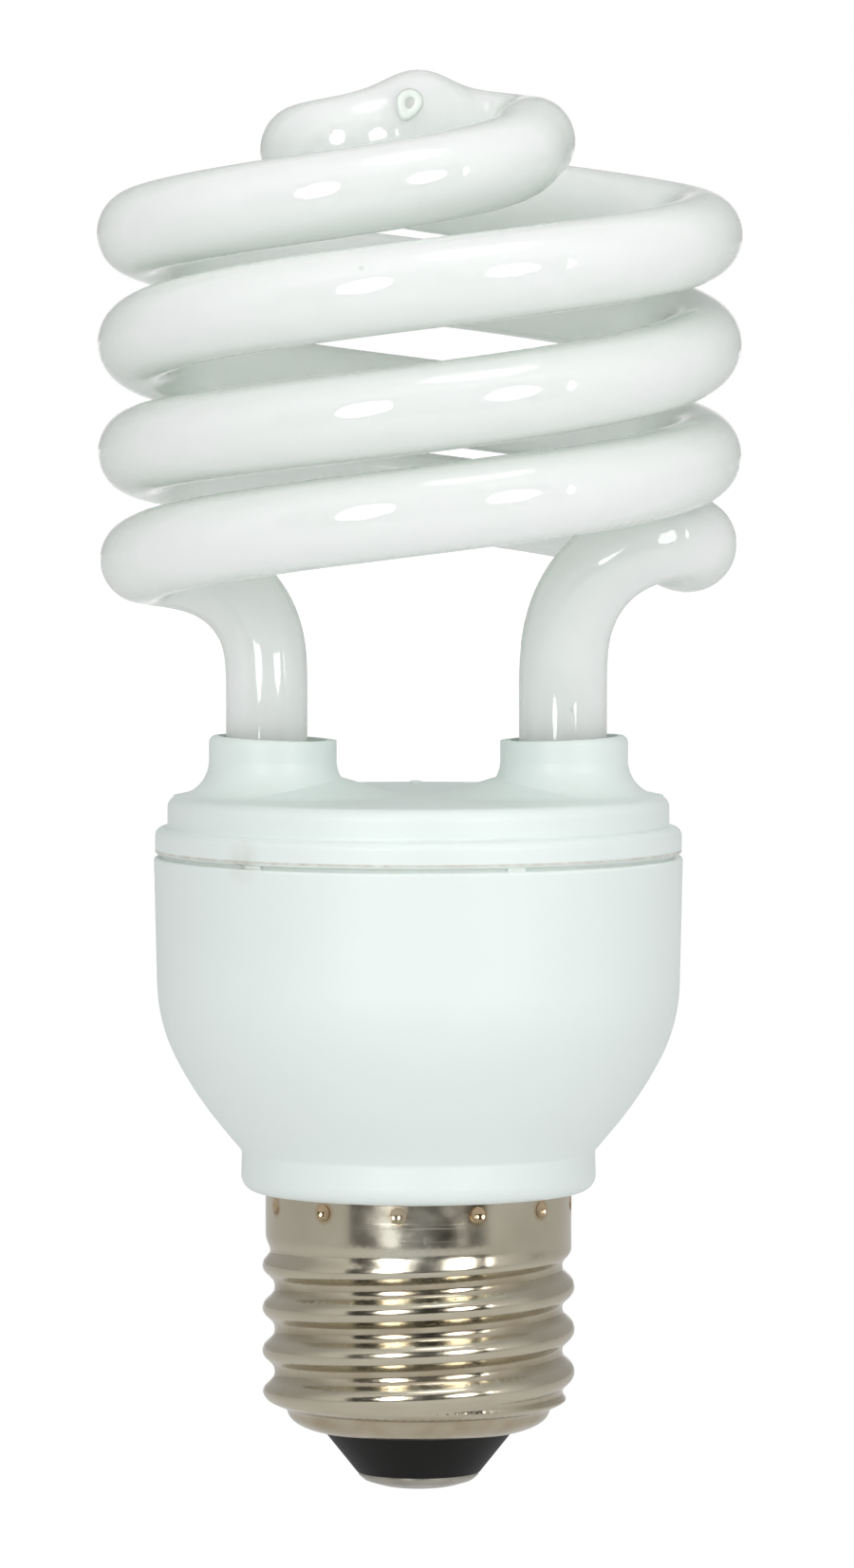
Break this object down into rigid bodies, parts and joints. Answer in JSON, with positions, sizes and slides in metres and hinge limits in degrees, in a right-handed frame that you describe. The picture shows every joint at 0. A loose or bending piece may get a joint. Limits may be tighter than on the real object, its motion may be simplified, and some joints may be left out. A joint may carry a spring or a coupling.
{
  "type": "spiral energy saving bulb",
  "caption": "Compact fluorescent bulb with a double-spiral white glass tube, stepped plastic holder, bowl-shaped ballast housing and a rolled metal screw cap.",
  "frame": {"origin": "tip of the centre contact, on the bulb's axis, where the socket's spring meets it", "axes": "+Z along the bulb's axis from the screw cap up to the spiral's crown; +X towards the right-hand leg; -Y faces the viewer, across the plane of the two legs"},
  "size_m": [0.0544, 0.0542, 0.1199],
  "materials": {
    "coated_glass": "white phosphor-coated glass tube, clear smooth outside",
    "white_plastic": "moulded heat-resistant white plastic",
    "nickel_plate": "thin rolled sheet, nickel plated, lightly scratched",
    "black_glass": "dark glassy cap insulator",
    "solder": "tinned contact with a solder dome",
    "cement": "white tube cement",
    "board": "brown paper laminate board",
    "tinned_wire": "tinned copper wire and pins",
    "can": "dark sleeved aluminium can",
    "ferrite": "grey ferrite",
    "bobbin": "black moulded bobbin",
    "copper": "enamelled copper wire",
    "epoxy_black": "black moulded package",
    "film_red": "dipped film capacitor",
    "disc_orange": "dipped ceramic disc",
    "resistor_tan": "lacquered resistor body",
    "sleeve": "shrunk sleeve"
  },
  "bodies": {
    "root": {"spiral_tube": "coated_glass", "tube_holder": "white_plastic", "ballast_housing": "white_plastic", "screw_shell": "nickel_plate", "cap_insulator": "black_glass", "centre_contact": "solder", "tube_cement_left": "cement", "tube_cement_right": "cement", "circuit_board": "board", "wrap_pins": "tinned_wire", "electrode_lead_left_front": "tinned_wire", "electrode_lead_left_back": "tinned_wire", "electrode_lead_right_front": "tinned_wire", "electrode_lead_right_back": "tinned_wire", "electrolytic_capacitor": "can", "choke_core_upper": "ferrite", "choke_core_lower": "ferrite", "choke_bobbin": "bobbin", "choke_winding": "copper", "toroid_core": "ferrite", "toroid_windings": "copper", "transistor_front": "epoxy_black", "transistor_back": "epoxy_black", "resonant_capacitor": "film_red", "coupling_capacitor": "film_red", "start_capacitor": "disc_orange", "filter_inductor_core": "ferrite", "filter_inductor_winding": "copper", "rectifier_diodes": "epoxy_black", "trigger_diode": "disc_orange", "resistors": "resistor_tan", "fusible_resistor": "resistor_tan", "fuse_sleeve": "sleeve", "shell_lead": "tinned_wire"}
  },
  "joints": []
}
